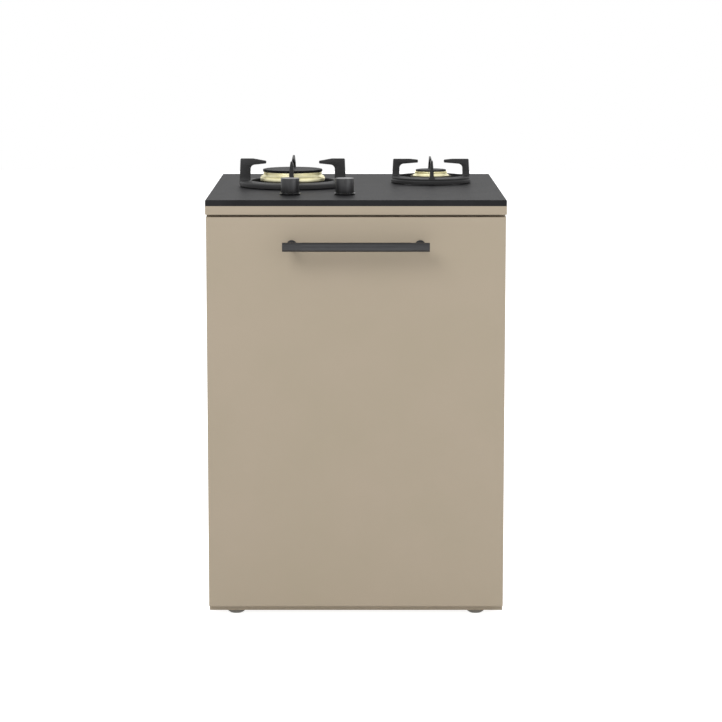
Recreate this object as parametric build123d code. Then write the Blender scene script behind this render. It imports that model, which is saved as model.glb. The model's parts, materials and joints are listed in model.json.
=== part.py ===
from build123d import *
import os
from math import atan2, degrees, hypot, pi, sqrt, tan

# An outdoor kitchen hob module: a folded sheet cabinet with a tall pull-out front for the gas bottle,
# a thin slab worktop, and two brass burners with cast pan supports and two knobs set straight into it.
# Millimetres. +X is right, +Y is to the back and +Z is up. The floor is z = 0 and the origin is the
# middle of the whole object's footprint, handle included.

# Whole module
MODULE_WIDTH = 600
MODULE_DEPTH = 700
WORKTOP_HEIGHT = 850
WORKTOP_THICKNESS = 12
WORKTOP_BEVEL = 1.2

# Cabinet
TOP_FRAME_HEIGHT = 17
TOP_FRAME_WIDTH = 34
TUBE_WALL = 2
SIDE_REVEAL = 1.5  # the cabinet stands back this far from each side edge of the worktop
REAR_REVEAL = 10  # and this far from its back edge
SHEET = 2
CASSETTE_DEPTH = 20  # folded edge of a side panel
LIP_WIDTH = 14  # second fold of that edge
SERVICE_RECESS = 38  # the back panel stands this far inside the cabinet's back edge
CABINET_LIFT = 10  # floor to the underside of the cabinet
CROSS_RAIL_HEIGHT = 40
BOTTOM_FOLD = 22
STIFFENER_HEIGHT = 60
STIFFENER_INSET = 30

# Back panel louvres and bottom panel vents
LOUVRE_WIDTH = 260
LOUVRE_SLOT = 9
LOUVRE_HOOD = 8
LOUVRE_PITCH = 26
LOUVRE_ROWS = 3
LOUVRE_STARTS = (90, 660)  # the lowest slot of each group, above the floor
VENT_LENGTH = 90
VENT_WIDTH = 9
VENT_PITCH_X = 130
VENT_PITCH_Y = 90
VENT_COLUMNS = 3
VENT_ROWS = 2

# Levelling feet
FOOT_FLATS = 30  # the base takes a spanner
FOOT_LEG_SIZE = 15
FOOT_LEG_LENGTH = 44
FOOT_SIDE_INSET = 55  # from the side edge of the worktop to the foot's centre
FOOT_END_INSET = 50  # from the front plane, and from the cabinet's back edge
SLEEVE_HEIGHT = 30
SLEEVE_CLEARANCE = 0.1

# Pull-out front
FRONT_THICKNESS = 20
FRONT_TOP_GAP = 5
FRONT_FLOOR_GAP = 20
FRONT_EDGE_RADIUS = 1.5
LINER_INSET = 0.5
BUFFER_THICKNESS = 2
BUFFER_SIZE = 12
BUFFER_INSET = 10

# Handle
HANDLE_LENGTH = 292
HANDLE_GRIP_RADIUS = 9.25
HANDLE_FLATS = 17.8  # across the flats of the eight-sided ends
HANDLE_END_LENGTH = 40
HANDLE_STANDOFF = 38  # front face to the bar's centre
HANDLE_DROP = 56  # top edge of the front to the bar's centre
HANDLE_POST_SPACING = 256
POST_RADIUS = 5.5
ROSETTE_RADIUS = 10.5
ROSETTE_THICKNESS = 3.5

# Telescopic runners, 45 mm high and 12.7 mm thick
RUNNER_HEIGHT = 45
RUNNER_THICKNESS = 12.7
RUNNER_STRIP = 1.5
RUNNER_LENGTH = 550
RUNNER_SETBACK = 30
RUNNER_CENTRE_Z = 88
RUNNER_LIP = 3.5
RACE_GAP = 3.2  # ball race between two members
CABINET_MOUTH = 10  # the cabinet member's edges reach this far from the side panel
MIDDLE_MOUTH = 10.5
BALL_CAGE_LENGTH = 220
BALL_CAGE_WIDTH = 3
BALL_CLEARANCE = 0.1
MIDDLE_LENGTH = 510
MIDDLE_INSET = 2.4
MIDDLE_START = 2  # behind the front end of the cabinet member
DRAWER_START = -4
MEMBER_CLEARANCE = 0.6

# Bottle tray
TRAY_HEIGHT = 58
TRAY_DEPTH = 560
GUSSET_THICKNESS = 3
GUSSET_HEIGHT = 370
GUSSET_DEPTH = 180
GUSSET_TOP_DEPTH = 30
GUSSET_FLANGE = 22
STRAP_THICKNESS = 3
STRAP_HEIGHT = 25
STRAP_HALF_WIDTH = 160  # the bottle's radius and some room
STRAP_CORNER = 90
STRAP_LEVEL = 330  # tray floor to the middle of the strap
MAT_SIZE = 320
MAT_THICKNESS = 4
MAT_CORNER = 40

# Burners. Heights are above the worktop.
BURNER_X = {"wok": -134, "small": 161.5}
BURNER_SETBACK = {"wok": 350, "small": 450}
NECK_RADIUS = {"wok": 30, "small": 22}
NECK_HOLE_CLEARANCE = 1
NECK_DEPTH = 50  # below the underside of the worktop
CUP_RADIUS = {"wok": 63, "small": 40}
SEAT_HEIGHT = {"wok": 13.6, "small": 12.5}
THROAT_RADIUS = {"wok": 9, "small": 6}
RETAINER_BORDER = 20
RETAINER_THICKNESS = 3
RETAINER_CLEARANCE = 0.05

# Brass crowns and enamelled caps
RIM_RADIUS = {"wok": 68.3, "small": 44.5}
RIM_HEIGHT = {"wok": 7.5, "small": 2.2}
DRUM_RADIUS = {"wok": 62, "small": 34.8}
CROWN_TOP = {"wok": 33.7, "small": 27}
CROWN_WALL = {"wok": 8, "small": 5.5}
PORT_PITCH = {"wok": 13, "small": 11.4}
PORT_WIDTH = {"wok": 2.4, "small": 2}
PORT_HEIGHT = {"wok": 7, "small": 12.3}
SMALLEST_STEP = 0.1
CAP_RADIUS = {"wok": 62.8, "small": 32.5}
CAP_THICKNESS = {"wok": 3.2, "small": 1.9}

# Pan supports. Heights are above the worktop, radii from the burner's centre.
RING_OUTER = {"wok": 112, "small": 85}
RING_INNER = {"wok": 88, "small": 69}
PAD_HEIGHT = {"wok": 4.2, "small": 5.5}
PAD_SIZE = {"wok": 14, "small": 11}
RING_TOP = {"wok": 10.7, "small": 11.5}
LEG_WIDTH = {"wok": 21.3, "small": 13.4}
LEG_DRAFT = {"wok": 1.6, "small": 3.8}
FINGER_TOP = {"wok": 58.8, "small": 51.2}
FINGER_FLAT = {"wok": 27.3, "small": 35.7}
TIP_RADIUS = {"wok": 55.5, "small": 27.6}
TIP_TOP = {"wok": 53.9, "small": 49.4}
TIP_BOTTOM = {"wok": 48.2, "small": 43.1}
ARCH_HEIGHT = {"wok": 44.8, "small": 39.9}
ARCH_FILLET = {"wok": 9, "small": 6}
FLAT_FILLET = 12
LEG_CHAMFER = 1.5
LEG_INSET = {"wok": -0.6, "small": 1.3}  # the legs stand this far inside the edge of the ring, or proud of it
TIP_NOSE = 1
FINGER_TOP_WIDTH = 4
FINGER_FOOT_WIDTH = 10.5
FINGER_FLARE = 5
FINGER_COUNT = 4

# A spark electrode stands on a lug of each burner cup, behind the crown
ELECTRODE_ANGLE = 125
ELECTRODE_GAP = 3.5  # from the crown's rim to the electrode's centre
ELECTRODE_RADIUS = 2.2
ELECTRODE_TOP = {"wok": 27, "small": 22}
LUG_WIDTH = 12
LUG_THICKNESS = 2.5

# Knobs and gas taps
KNOB_X = {"wok": -134, "small": -23}
KNOB_SETBACK = 130
KNOB_RADIUS = 18.9
KNOB_BOTTOM = 5  # above the worktop
KNOB_TOP = 34
KNOB_PUSH = 3.5
POINTER_LENGTH = 7
POINTER_WIDTH = 1.2
POINTER_DEPTH = 0.6
BEZEL_RADIUS = 22.5
BEZEL_HEIGHT = 1
BEZEL_HOLE = 10
SPINDLE_SQUARE = 6
SPINDLE_TOP = 24  # above the worktop
SPINDLE_END = 14  # below the underside of the worktop
SPINDLE_HOLE_RADIUS = 6
SPINDLE_CLEARANCE = 0.06
TAP_WIDTH = 36
TAP_DEPTH = 44
TAP_HEIGHT = 38
TAP_CORNER = 4
TAP_OUTLET = 22  # plug axis to the face that the pipe leaves from
TAP_ROOF = 12  # solid above the plunger
PLUNGER_SIZE = 12
PLUNGER_LENGTH = 10
PLUNGER_CLEARANCE = 0.3

# Gas line
RAIL_SIZE = 14
RAIL_DROP = 29  # underside of the worktop to the rail's centre
RAIL_OVERHANG = 31  # past the left knob
FEED_RADIUS = 4
SUPPLY_INSET = 65  # from the side edge of the worktop to the supply pipe
SUPPLY_RADIUS = 6
SUPPLY_BORE = 4.5
INLET_NUT_RADIUS = 13
INLET_NUT_THICKNESS = 10
INLET_RADIUS = 10.48  # half-inch pipe thread, outside
INLET_LENGTH = 18
INLET_CLEARANCE = 1

# Ignition box
IGNITION_X = 96
IGNITION_WIDTH = 70
IGNITION_DEPTH = 40
IGNITION_HEIGHT = 24
IGNITION_CORNER = 4

# Places that follow from the sizes above
HALF_WIDTH = MODULE_WIDTH / 2
SUPPLY_X = HALF_WIDTH - SUPPLY_INSET
HANDLE_REACH = HANDLE_STANDOFF + HANDLE_GRIP_RADIUS
Y_BACK = (MODULE_DEPTH + HANDLE_REACH) / 2
Y_FRONT = Y_BACK - MODULE_DEPTH
WORKTOP_UNDERSIDE = WORKTOP_HEIGHT - WORKTOP_THICKNESS
FRAME_UNDERSIDE = WORKTOP_UNDERSIDE - TOP_FRAME_HEIGHT
FRONT_TOP = FRAME_UNDERSIDE - FRONT_TOP_GAP
CABINET_HALF = HALF_WIDTH - SIDE_REVEAL
CASSETTE_INNER = CABINET_HALF - CASSETTE_DEPTH
CABINET_FRONT = FRONT_THICKNESS + BUFFER_THICKNESS
CABINET_REAR = MODULE_DEPTH - REAR_REVEAL
BACK_PANEL = CABINET_REAR - SERVICE_RECESS
TRAY_HALF = CASSETTE_INNER - RUNNER_THICKNESS
TRAY_BOTTOM = RUNNER_CENTRE_Z - TRAY_HEIGHT / 2
TRAY_TOP = TRAY_BOTTOM + TRAY_HEIGHT
TRAY_FLOOR = TRAY_BOTTOM + SHEET
HANDLE_Z = FRONT_TOP - HANDLE_DROP
RAIL_Z = WORKTOP_UNDERSIDE - RAIL_DROP
TAP_FRONT = KNOB_SETBACK - TAP_DEPTH / 2
BURNERS = ("wok", "small")
SIDES = {"left": -1, "right": 1}


def behind(distance):
    """The y of a place that far behind the front plane."""
    return Y_FRONT + distance


def block(x, setback, z):
    """A box between two x values, two distances behind the front plane and two heights."""
    sizes = [abs(pair[1] - pair[0]) for pair in (x, setback, z)]
    middle = (sum(x) / 2, behind(sum(setback) / 2), sum(z) / 2)
    return Pos(*middle) * Box(*sizes)


def turned(profile, x=0, y=0, z=0):
    """A solid of revolution about a vertical axis, from a closed outline of (radius, height)."""
    face = make_face(Plane.XZ * Polyline(*profile, close=True))
    return Pos(x, y, z) * revolve(face, Axis.Z)


def upright_rod(x, y, z_low, z_high, radius):
    return Pos(x, y, (z_low + z_high) / 2) * Cylinder(radius, z_high - z_low)


def deep_rod(x, setback_low, setback_high, z, radius):
    """A rod along Y."""
    middle = behind((setback_low + setback_high) / 2)
    return Pos(x, middle, z) * Rot(90, 0, 0) * Cylinder(radius, setback_high - setback_low)


def side_outline(points, x_low, x_high):
    """A closed outline of (distance behind the front plane, height), extruded along X."""
    corners = [(behind(setback), z) for setback, z in points]
    face = make_face(Plane.YZ.offset(x_low) * Polyline(*corners, close=True))
    return extrude(face, x_high - x_low, dir=(1, 0, 0))


def front_outline(points, setback_low, setback_high):
    """A closed outline of (x, height), extruded along Y."""
    plane = Plane.XZ.offset(-behind(setback_high))
    face = make_face(plane * Polyline(*points, close=True))
    return extrude(face, setback_high - setback_low, dir=(0, -1, 0))


def group(solids):
    """Several separate solids in one node."""
    return Compound(children=[solid for shape in solids for solid in shape.solids()])


def burner_place(burner):
    return BURNER_X[burner], behind(BURNER_SETBACK[burner])


def knob_place(burner):
    return KNOB_X[burner], behind(KNOB_SETBACK)


# Worktop and cabinet


def worktop():
    """A 12 mm slab, with its upper and upright edges bevelled, and holes for burner necks and spindles."""
    whole = (WORKTOP_UNDERSIDE, WORKTOP_HEIGHT)
    slab = block((-HALF_WIDTH, HALF_WIDTH), (0, MODULE_DEPTH), whole)
    upright = slab.edges().filter_by(Axis.Z)
    slab = chamfer(upright + slab.faces().sort_by(Axis.Z)[-1].edges(), WORKTOP_BEVEL)
    for burner in BURNERS:
        neck_hole = NECK_RADIUS[burner] + NECK_HOLE_CLEARANCE
        for place, radius in ((burner_place(burner), neck_hole), (knob_place(burner), SPINDLE_HOLE_RADIUS)):
            slab -= upright_rod(*place, *whole, radius)
    return slab


def top_frame():
    """Four mitred box tubes under the edge of the worktop."""
    z = (FRAME_UNDERSIDE, WORKTOP_UNDERSIDE)
    bore_z = (z[0] + TUBE_WALL, z[1] - TUBE_WALL)
    x, depth, width = HALF_WIDTH, MODULE_DEPTH, TOP_FRAME_WIDTH

    def mitred(low, high, inset):
        near, far = inset, width - inset
        front = [(-x + near, near), (x - near, near), (x - far, far), (-x + far, far)]
        back = [(px, depth - py) for px, py in front]
        left = [(-x + near, near), (-x + far, far), (-x + far, depth - far), (-x + near, depth - near)]
        right = [(-px, py) for px, py in left]
        tubes = []
        for outline in (front, back, left, right):
            corners = [(px, behind(py)) for px, py in outline]
            face = make_face(Plane.XY.offset(low) * Polyline(*corners, close=True))
            tubes.append(extrude(face, high - low, dir=(0, 0, 1)))
        return tubes

    bars = mitred(z[0], z[1], 0)
    bores = mitred(bore_z[0], bore_z[1], TUBE_WALL)
    return group([bar - bore for bar, bore in zip(bars, bores)])


def side_panel(side):
    """A folded sheet cassette with lipped edges, and a channel inside that carries the runner."""
    outer, inner = side * CABINET_HALF, side * CASSETTE_INNER
    skin, lip = side * (CABINET_HALF - SHEET), side * (CASSETTE_INNER + SHEET)
    front, rear = CABINET_FRONT, CABINET_REAR
    low, high = CABINET_LIFT, FRAME_UNDERSIDE
    panel = block((outer, inner), (front, rear), (low, high))
    panel -= block((skin, lip), (front + SHEET, rear - SHEET), (low + SHEET, high - SHEET))
    edge = LIP_WIDTH
    mouth = block((lip, inner - side), (front + edge, rear - edge), (low + edge, high - edge))
    panel -= mouth
    run = (front + STIFFENER_INSET, rear - STIFFENER_INSET)
    z = (RUNNER_CENTRE_Z - STIFFENER_HEIGHT / 2, RUNNER_CENTRE_Z + STIFFENER_HEIGHT / 2)
    panel += block((skin, inner), run, z) - block(
        (skin, lip), (run[0] - 1, run[1] + 1), (z[0] + SHEET, z[1] - SHEET)
    )
    return panel


def louvre_hood(z):
    """A pressed hood that leans out over its slot and sheds rain."""
    rear, top = BACK_PANEL, z + LOUVRE_SLOT + SHEET
    lip = rear + LOUVRE_HOOD
    outer = [(rear, top), (lip, z + SHEET), (lip, z), (rear, z)]
    hollow = [(rear, top - SHEET), (lip - SHEET, z + SHEET / 2), (lip - SHEET, z), (rear, z)]
    half = LOUVRE_WIDTH / 2
    hood = side_outline(outer, -half - SHEET, half + SHEET)
    return hood - side_outline(hollow, -half, half)


def back_panel():
    """A recessed sheet with folds along its sides, high and low louvres and the gas inlet's hole."""
    inner, half = CASSETTE_INNER, LOUVRE_WIDTH / 2
    low, high = CABINET_LIFT + SHEET, FRAME_UNDERSIDE
    sheet = (BACK_PANEL - SHEET, BACK_PANEL)
    panel = block((-inner, inner), sheet, (low, high))
    for side in SIDES.values():
        fold = (side * (inner - SHEET), side * inner)
        panel += block(fold, (BACK_PANEL, CABINET_REAR - SHEET), (low, high))
    for start in LOUVRE_STARTS:
        for row in range(LOUVRE_ROWS):
            z = start + row * LOUVRE_PITCH
            panel -= block((-half, half), sheet, (z, z + LOUVRE_SLOT))
            panel += louvre_hood(z)
    hole = INLET_RADIUS + INLET_CLEARANCE
    return panel - deep_rod(SUPPLY_X, BACK_PANEL - SHEET - 1, BACK_PANEL + 1, RAIL_Z, hole)


def bottom_panel():
    """A sheet with upturned front and rear folds, vent slots and holes for the feet."""
    inner = CASSETTE_INNER
    floor = (CABINET_LIFT, CABINET_LIFT + SHEET)
    fold = (CABINET_LIFT, CABINET_LIFT + BOTTOM_FOLD)
    panel = block((-inner, inner), (CABINET_FRONT, CABINET_REAR), floor)
    panel += block((-inner, inner), (CABINET_FRONT, CABINET_FRONT + SHEET), fold)
    panel += block((-inner, inner), (CABINET_REAR - SHEET, CABINET_REAR), fold)
    middle = behind((CABINET_FRONT + CABINET_REAR) / 2)
    slot = Box(VENT_LENGTH, VENT_WIDTH, BOTTOM_FOLD)
    for place in GridLocations(VENT_PITCH_X, VENT_PITCH_Y, VENT_COLUMNS, VENT_ROWS):
        panel -= Pos(0, middle, CABINET_LIFT) * place * slot
    hole = Box(sleeve_bore(), sleeve_bore(), BOTTOM_FOLD)
    for x, y in foot_places().values():
        panel -= Pos(x, y, CABINET_LIFT) * hole
    return panel


def front_cross_rail():
    """A channel between the side panels, seen through the gap above the front."""
    inner = CASSETTE_INNER
    z = (FRAME_UNDERSIDE - CROSS_RAIL_HEIGHT, FRAME_UNDERSIDE)
    rail = block((-inner, inner), (CABINET_FRONT, CABINET_FRONT + CASSETTE_DEPTH), z)
    return rail - block(
        (-inner, inner), (CABINET_FRONT + SHEET, CABINET_FRONT + CASSETTE_DEPTH), (z[0] + SHEET, z[1] - SHEET)
    )


def foot_places():
    x = HALF_WIDTH - FOOT_SIDE_INSET
    rows = {"front": behind(FOOT_END_INSET), "rear": behind(CABINET_REAR - FOOT_END_INSET)}
    return {(row, name): (side * x, y) for row, y in rows.items() for name, side in SIDES.items()}


def sleeve_bore():
    return FOOT_LEG_SIZE + 2 * SLEEVE_CLEARANCE


def foot_sleeves():
    """Four square sleeves welded over holes of the bottom panel, for the levelling feet."""
    bore, outside = sleeve_bore(), sleeve_bore() + 2 * SHEET
    sleeve = extrude(Rectangle(outside, outside) - Rectangle(bore, bore), SLEEVE_HEIGHT)
    return group([Pos(x, y, CABINET_LIFT + SHEET) * sleeve for x, y in foot_places().values()])


def foot(x, y):
    """A hexagonal base that meets the floor, under a square leg that telescopes in its sleeve."""
    base = extrude(RegularPolygon(FOOT_FLATS / 2, 6, major_radius=False), CABINET_LIFT)
    leg = Pos(0, 0, CABINET_LIFT + FOOT_LEG_LENGTH / 2) * Box(FOOT_LEG_SIZE, FOOT_LEG_SIZE, FOOT_LEG_LENGTH)
    return Pos(x, y) * (base + leg)


# Telescopic runners. Outlines are in (distance from the side panel's inner plane, height from centre).


def runner_strip(outline, side, setback_low, setback_high):
    points = [(side * (CASSETTE_INNER - u), RUNNER_CENTRE_Z + v) for u, v in outline]
    return front_outline(points, setback_low, setback_high)


def runner_sizes():
    """Half heights: of the cabinet member, the middle member's outside and the drawer member's outside."""
    cabinet = RUNNER_HEIGHT / 2
    middle = cabinet - RUNNER_STRIP - RACE_GAP
    drawer = middle - RUNNER_STRIP - RACE_GAP
    return cabinet, middle, drawer


def runner_cabinet_member(side):
    """The channel fixed to the cabinet, its edges turned in over the balls."""
    high, t = runner_sizes()[0], RUNNER_STRIP
    mouth = CABINET_MOUTH
    upper = [(0, high), (mouth, high), (mouth, high - RUNNER_LIP), (mouth - t, high - RUNNER_LIP)]
    upper += [(mouth - t, high - t), (t, high - t)]
    outline = [(0, -high)] + upper + [(u, -v) for u, v in reversed(upper[1:])]
    return runner_strip(outline, side, RUNNER_SETBACK, RUNNER_SETBACK + RUNNER_LENGTH)


def runner_middle_member(side):
    """The middle channel with the four rows of balls in their cages."""
    high, t = runner_sizes()[1], RUNNER_STRIP
    near, mouth = MIDDLE_INSET, MIDDLE_MOUTH
    upper = [(near, high), (mouth, high), (mouth, high - RUNNER_LIP), (mouth - t, high - RUNNER_LIP)]
    upper += [(mouth - t, high - t), (near + t, high - t)]
    outline = [(near, -high)] + upper + [(u, -v) for u, v in reversed(upper[1:])]
    begin = RUNNER_SETBACK + MIDDLE_START
    member = runner_strip(outline, side, begin, begin + MIDDLE_LENGTH)
    start = RUNNER_SETBACK + (MIDDLE_LENGTH - BALL_CAGE_LENGTH) / 2
    ball = RACE_GAP - BALL_CLEARANCE
    left, right = (RUNNER_THICKNESS - BALL_CAGE_WIDTH) / 2, (RUNNER_THICKNESS + BALL_CAGE_WIDTH) / 2
    for sign in (-1, 1):
        for low in (high, high - t - ball):
            top = low + ball
            cage = [(left, sign * low), (right, sign * low), (right, sign * top), (left, sign * top)]
            member += runner_strip(cage, side, start, start + BALL_CAGE_LENGTH)
    return member


def runner_drawer_member(side):
    """The channel fixed to the tray, open towards the cabinet side."""
    high, t = runner_sizes()[2], RUNNER_STRIP
    far, near = RUNNER_THICKNESS, MIDDLE_INSET + RUNNER_STRIP + MEMBER_CLEARANCE
    begin = RUNNER_SETBACK + DRAWER_START
    outline = [
        (far, -high), (far, high), (near, high), (near, high - t), (far - t, high - t),
        (far - t, -high + t), (near, -high + t), (near, -high),
    ]
    return runner_strip(outline, side, begin, begin + RUNNER_LENGTH)


# Pull-out


def front_panel():
    """A folded sheet front with rounded edges, open at the back."""
    z = (FRONT_FLOOR_GAP, FRONT_TOP)
    back = FRONT_THICKNESS - SHEET
    panel = block((-CABINET_HALF, CABINET_HALF), (0, back), z)
    panel = fillet(panel.faces().sort_by(Axis.Y)[0].edges(), FRONT_EDGE_RADIUS)
    inside = CABINET_HALF - SHEET
    return panel - block((-inside, inside), (SHEET, back), (z[0] + SHEET, z[1] - SHEET))


def front_liner():
    """The sheet that closes the back of the front."""
    half = CABINET_HALF - LINER_INSET
    z = (FRONT_FLOOR_GAP + LINER_INSET, FRONT_TOP - LINER_INSET)
    return block((-half, half), (FRONT_THICKNESS - SHEET, FRONT_THICKNESS), z)


def front_buffers():
    """Four rubber pads between the front and the cabinet's edge."""
    x, half = CABINET_HALF - BUFFER_INSET, BUFFER_SIZE / 2
    depth = (FRONT_THICKNESS, FRONT_THICKNESS + BUFFER_THICKNESS)
    heights = (FRONT_FLOOR_GAP + 2 * BUFFER_INSET, FRONT_TOP - 2 * BUFFER_INSET)
    return group([
        block((side * x - half, side * x + half), depth, (z - half, z + half))
        for side in SIDES.values() for z in heights
    ])


def handle_post_places():
    return (-HANDLE_POST_SPACING / 2, HANDLE_POST_SPACING / 2)


def handle_bar():
    """A round bar whose ends are worked to eight flats."""
    grip = HANDLE_LENGTH - 2 * HANDLE_END_LENGTH
    octagon = Rot(0, 0, 22.5) * RegularPolygon(HANDLE_FLATS / 2, 8, major_radius=False)
    bar = Cylinder(HANDLE_GRIP_RADIUS, grip)
    for side in SIDES.values():
        bar += Pos(0, 0, side * grip / 2) * extrude(octagon, side * HANDLE_END_LENGTH)
    return Pos(0, behind(-HANDLE_STANDOFF), HANDLE_Z) * Rot(0, 90, 0) * bar


def handle_posts():
    """A post with a round rosette behind each end of the bar."""
    length = HANDLE_STANDOFF - HANDLE_FLATS / 2
    profile = [
        (0, 0), (ROSETTE_RADIUS, 0), (ROSETTE_RADIUS, ROSETTE_THICKNESS), (POST_RADIUS, ROSETTE_THICKNESS),
        (POST_RADIUS, length), (0, length),
    ]
    post = Rot(90, 0, 0) * turned(profile)
    return group([Pos(x, Y_FRONT, HANDLE_Z) * post for x in handle_post_places()])


def tray():
    """The folded tray that the bottle stands in."""
    inside = TRAY_HALF - SHEET
    depth = (FRONT_THICKNESS, FRONT_THICKNESS + TRAY_DEPTH)
    body = block((-TRAY_HALF, TRAY_HALF), depth, (TRAY_BOTTOM, TRAY_TOP))
    return body - block((-inside, inside), (depth[0] + SHEET, depth[1] - SHEET), (TRAY_FLOOR, TRAY_TOP))


def tray_gussets():
    """Two tapered gussets, flanged along the front, that hold it square to the tray."""
    low, top = TRAY_FLOOR, TRAY_FLOOR + GUSSET_HEIGHT
    face, toe = FRONT_THICKNESS, FRONT_THICKNESS + SHEET
    reach = face + GUSSET_DEPTH
    outline = [
        (toe, low), (toe, TRAY_TOP), (face, TRAY_TOP), (face, top), (face + GUSSET_TOP_DEPTH, top),
        (reach, TRAY_TOP), (reach, low),
    ]
    outer = TRAY_HALF - SHEET
    inner = outer - GUSSET_THICKNESS
    gussets = []
    for side in SIDES.values():
        plate = side_outline(outline, *sorted((side * outer, side * inner)))
        flange = block(
            (side * inner, side * (inner - GUSSET_FLANGE)), (face, face + GUSSET_THICKNESS), (TRAY_TOP, top)
        )
        gussets.append(plate + flange)
    return group(gussets)


def strap_outline(half, corner, reach):
    """A trapezium-nosed U in plan, from the front to its reach."""
    start = FRONT_THICKNESS
    right = [(half, start), (half, reach - corner), (half - corner, reach)]
    outline = right + [(-x, depth) for x, depth in reversed(right)]
    return make_face(Polyline(*[(x, behind(depth)) for x, depth in outline], close=True))


def bottle_strap():
    """A flat bar, folded round the bottle and back to the front."""
    half, thick = STRAP_HALF_WIDTH, STRAP_THICKNESS
    reach = FRONT_THICKNESS + 2 * half
    # The mitre of each 45 degree fold keeps the bar's thickness even
    outer_corner = STRAP_CORNER + thick * (1 - tan(pi / 8))
    ring = strap_outline(half + thick, outer_corner, reach + thick) - strap_outline(half, STRAP_CORNER, reach)
    low = TRAY_FLOOR + STRAP_LEVEL - STRAP_HEIGHT / 2
    return Pos(0, 0, low) * extrude(ring, STRAP_HEIGHT)


def bottle_mat():
    """A rubber mat on the tray floor under the bottle."""
    half = MAT_SIZE / 2
    middle = FRONT_THICKNESS + STRAP_HALF_WIDTH + SHEET
    height = (TRAY_FLOOR, TRAY_FLOOR + MAT_THICKNESS)
    mat = block((-half, half), (middle - half, middle + half), height)
    return chamfer(mat.edges().filter_by(Axis.Z), MAT_CORNER)


# Burners


def electrode_radius(burner):
    """From the burner's centre to the electrode beside its crown."""
    return RIM_RADIUS[burner] + ELECTRODE_GAP


def burner_bodies():
    """Cast cups on the worktop, with lugs for their electrodes and bored necks through the slab."""
    bodies = []
    for burner in BURNERS:
        neck, cup, throat = NECK_RADIUS[burner], CUP_RADIUS[burner], THROAT_RADIUS[burner]
        seat, low = SEAT_HEIGHT[burner], -WORKTOP_THICKNESS - NECK_DEPTH
        body = turned([(throat, low), (neck, low), (neck, 0), (cup, 0), (cup, seat), (throat, seat)])
        reach = electrode_radius(burner) + LUG_WIDTH / 2
        lug = Pos((neck + reach) / 2, 0, LUG_THICKNESS / 2) * Box(reach - neck, LUG_WIDTH, LUG_THICKNESS)
        bodies.append(Pos(*burner_place(burner), WORKTOP_HEIGHT) * (body + Rot(0, 0, ELECTRODE_ANGLE) * lug))
    return group(bodies)


def burner_retainers():
    """Plates under the worktop that hold the necks of the burners."""
    plates = []
    for burner in BURNERS:
        hole = 2 * (NECK_RADIUS[burner] + RETAINER_CLEARANCE)
        side = hole + 2 * RETAINER_BORDER
        plate = Rectangle(side, side) - Rectangle(hole, hole)
        place = Pos(*burner_place(burner), WORKTOP_UNDERSIDE - RETAINER_THICKNESS)
        plates.append(place * extrude(plate, RETAINER_THICKNESS))
    return group(plates)


def crown(burner):
    """A brass ring with a wide rim, whose wall is divided by radial flame ports under the cap."""
    seat, top, rim = SEAT_HEIGHT[burner], CROWN_TOP[burner], RIM_RADIUS[burner]
    drum, bore = DRUM_RADIUS[burner], DRUM_RADIUS[burner] - CROWN_WALL[burner]
    rim_top, port_floor = seat + RIM_HEIGHT[burner], top - PORT_HEIGHT[burner]
    profile = [(bore, seat), (rim, seat), (rim, rim_top), (drum, rim_top)]
    if port_floor - rim_top > SMALLEST_STEP:
        profile.append((drum, port_floor))
    ring = turned(profile + [(bore, port_floor)])
    # One slot across the whole drum makes two ports
    slots = round(pi * drum / PORT_PITCH[burner])
    slot = Rectangle(2 * rim, PORT_WIDTH[burner])
    wall = Circle(drum) - Circle(bore)
    wall -= [Rot(0, 0, 180 * step / slots) * slot for step in range(slots)]
    ring += Pos(0, 0, port_floor) * extrude(wall, top - port_floor)
    return Pos(*burner_place(burner), WORKTOP_HEIGHT) * ring


def cap(burner):
    """A thin enamelled disc that lies on the crown."""
    low = WORKTOP_HEIGHT + CROWN_TOP[burner]
    return upright_rod(*burner_place(burner), low, low + CAP_THICKNESS[burner], CAP_RADIUS[burner])


def finger(burner):
    """One cast finger along +X: its side outline, cut to a section that widens downwards."""
    outer, low = RING_OUTER[burner], PAD_HEIGHT[burner]
    foot = outer - LEG_INSET[burner]
    top, leg = FINGER_TOP[burner], outer - LEG_DRAFT[burner]
    inner, tip = leg - LEG_WIDTH[burner], TIP_RADIUS[burner]
    tip_mid, nose = (TIP_TOP[burner] + TIP_BOTTOM[burner]) / 2, tip + TIP_NOSE
    corners = [
        (inner, low), (foot, low), (leg, top), (leg - FINGER_FLAT[burner], top), (nose, TIP_TOP[burner]),
        (tip, tip_mid), (nose, TIP_BOTTOM[burner]), (inner, ARCH_HEIGHT[burner]),
    ]
    outline = make_face(Plane.XZ * Polyline(*corners, close=True))
    at_leg, at_flat, at_arch = [
        outline.vertices().sort_by_distance((x, 0, z))[0] for x, z in (corners[2], corners[3], corners[7])
    ]
    outline = fillet(at_arch, ARCH_FILLET[burner])
    outline = fillet(at_flat, FLAT_FILLET)
    outline = chamfer(at_leg, LEG_CHAMFER)
    side = extrude(outline, FINGER_FOOT_WIDTH + FINGER_FLARE, both=True)
    ring, slim = RING_TOP[burner], FINGER_TOP_WIDTH / 2
    foot_half = FINGER_FOOT_WIDTH / 2
    flared = foot_half + FINGER_FLARE
    right = [(flared, low), (flared, ring), (foot_half, ring + FINGER_FLARE), (slim, top)]
    section = right + [(-t, z) for t, z in reversed(right)]
    face = make_face(Plane.YZ * Polyline(*section, close=True))
    return side & extrude(face, foot, dir=(1, 0, 0))


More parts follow.
